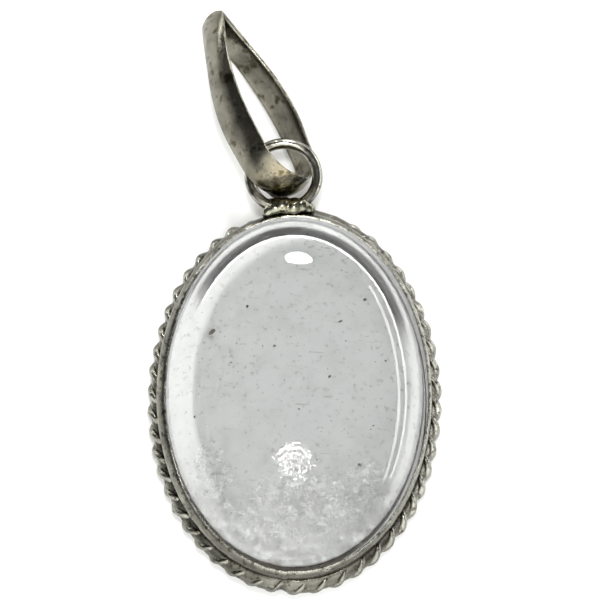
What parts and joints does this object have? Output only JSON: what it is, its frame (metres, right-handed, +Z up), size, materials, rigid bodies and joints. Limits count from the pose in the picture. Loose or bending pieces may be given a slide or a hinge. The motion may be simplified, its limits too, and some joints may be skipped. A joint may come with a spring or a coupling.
{
  "type": "quartz crystal pendant",
  "caption": "Oval domed clear quartz cabochon in a flared silver bezel with a twisted wire edge, a soldered top ring and a loose teardrop bail, lying on its back.",
  "frame": {"origin": "middle of the back plate's underside, on the surface that the pendant lies on", "axes": "+Z up through the stone, +Y along the pendant towards the top ring, +X to the right of it seen from above"},
  "size_m": [0.0204, 0.0412, 0.0065],
  "materials": {
    "quartz": "polished clear quartz with faint veils",
    "silver": "worn, tarnished silver",
    "bail_silver": "smooth tarnished silver strip"
  },
  "bodies": {
    "root": {"stone": "quartz", "setting": "silver", "bail": "bail_silver"}
  },
  "joints": []
}
